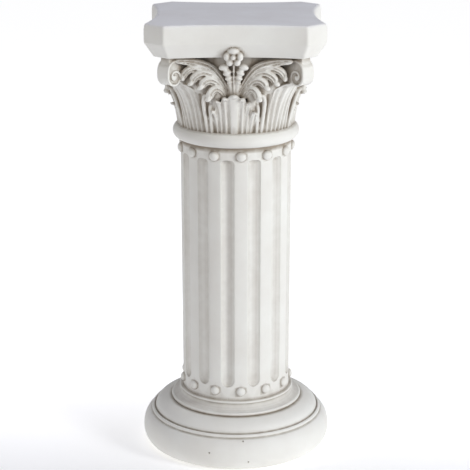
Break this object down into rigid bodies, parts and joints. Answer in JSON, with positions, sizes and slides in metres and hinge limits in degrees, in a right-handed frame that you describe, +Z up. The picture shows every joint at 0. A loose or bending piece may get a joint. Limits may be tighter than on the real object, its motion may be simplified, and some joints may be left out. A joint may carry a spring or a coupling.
{
  "type": "corinthian column pedestal",
  "caption": "Short Corinthian column pedestal with a round moulded base, fluted shaft, leafy capital with corner volutes and a square top slab with hollowed sides.",
  "frame": {"origin": "centre of the flat underside of the round base, on the ground", "axes": "+Z up along the column's axis; each side of the square top slab faces +X, -X, +Y or -Y"},
  "size_m": [0.3036, 0.3036, 0.7],
  "materials": {
    "cast_stone": "matt cast, off-white, with a faint beige-grey wash in the hollows"
  },
  "bodies": {
    "root": {"cast_column": "cast_stone"}
  },
  "joints": []
}
